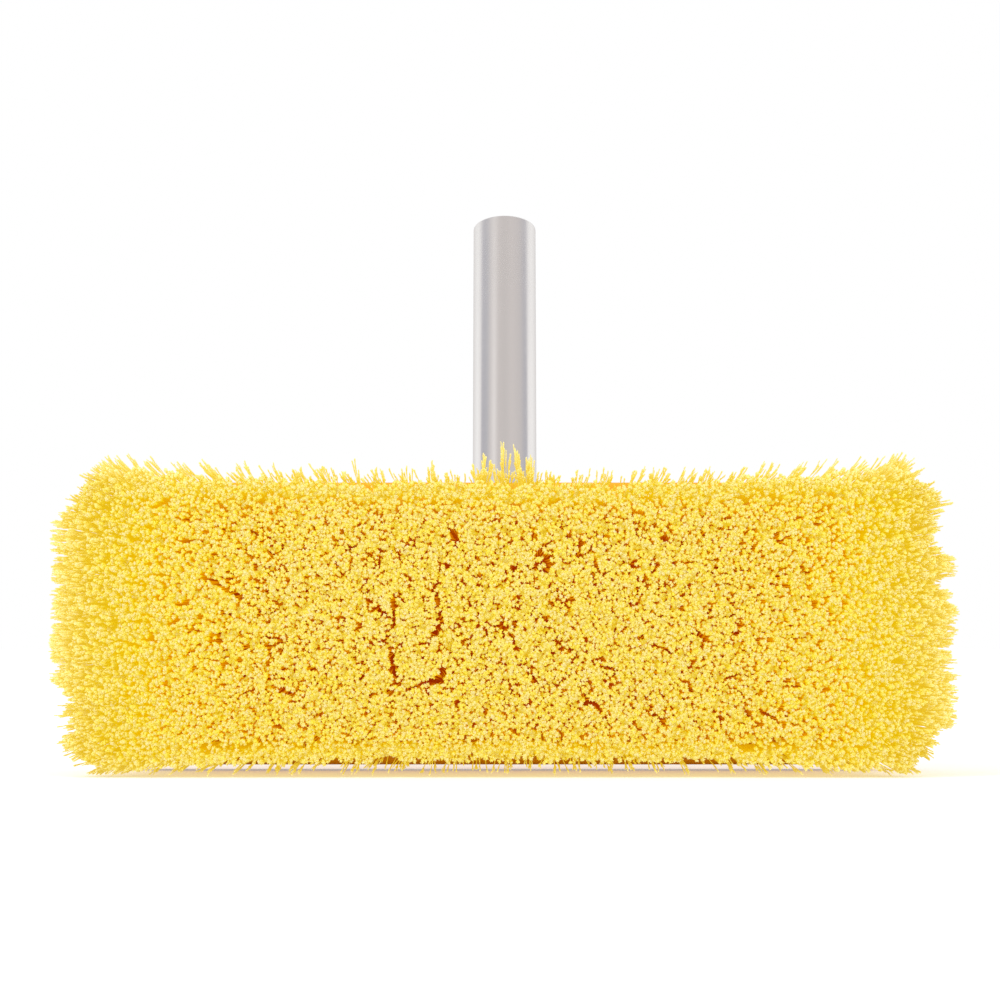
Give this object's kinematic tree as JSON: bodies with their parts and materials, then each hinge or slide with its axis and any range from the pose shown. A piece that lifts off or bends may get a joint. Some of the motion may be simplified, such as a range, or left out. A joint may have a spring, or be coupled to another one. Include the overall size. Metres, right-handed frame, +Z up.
{
  "type": "wash brush head",
  "caption": "Oblong wash brush head with a deep field of flared soft tufts, a moulded block with an angled socket, and a round handle tube with a sprung snap button.",
  "frame": {"origin": "middle of the bounding box at its lowest point, where the lowest row of tufts stands on the floor", "axes": "+X along the long side of the block, -Y the way the tufts point, +Z up the handle side of the block"},
  "size_m": [0.3352, 0.1702, 0.2224],
  "materials": {
    "block": "moulded yellow polypropylene, satin",
    "bristle": "yellow split-tip filament",
    "tube": "drawn and bright anodised",
    "button": "stainless steel",
    "spring": "blued spring steel",
    "screw": "stainless steel"
  },
  "bodies": {
    "head": {"brush_block": "block", "handle_tube": "tube", "snap_spring": "spring", "tube_screw_right": "screw", "tube_screw_left": "screw", "tuft_row_01": "bristle", "tuft_row_02": "bristle", "tuft_row_03": "bristle", "tuft_row_04": "bristle", "tuft_row_05": "bristle", "tuft_row_06": "bristle", "tuft_row_07": "bristle", "tuft_row_08": "bristle", "tuft_row_09": "bristle", "tuft_row_10": "bristle", "tuft_row_11": "bristle", "tuft_row_12": "bristle", "tuft_row_13": "bristle"},
    "button": {"snap_button": "button"}
  },
  "joints": [
    {"name": "button_press", "type": "slide", "parent": "head", "child": "button", "axis": [0, -0.9336, 0.3584], "range_m": [0, 0.0055], "stiffness_N_per_m": 1500, "deforming": ["snap_spring"]}
  ]
}
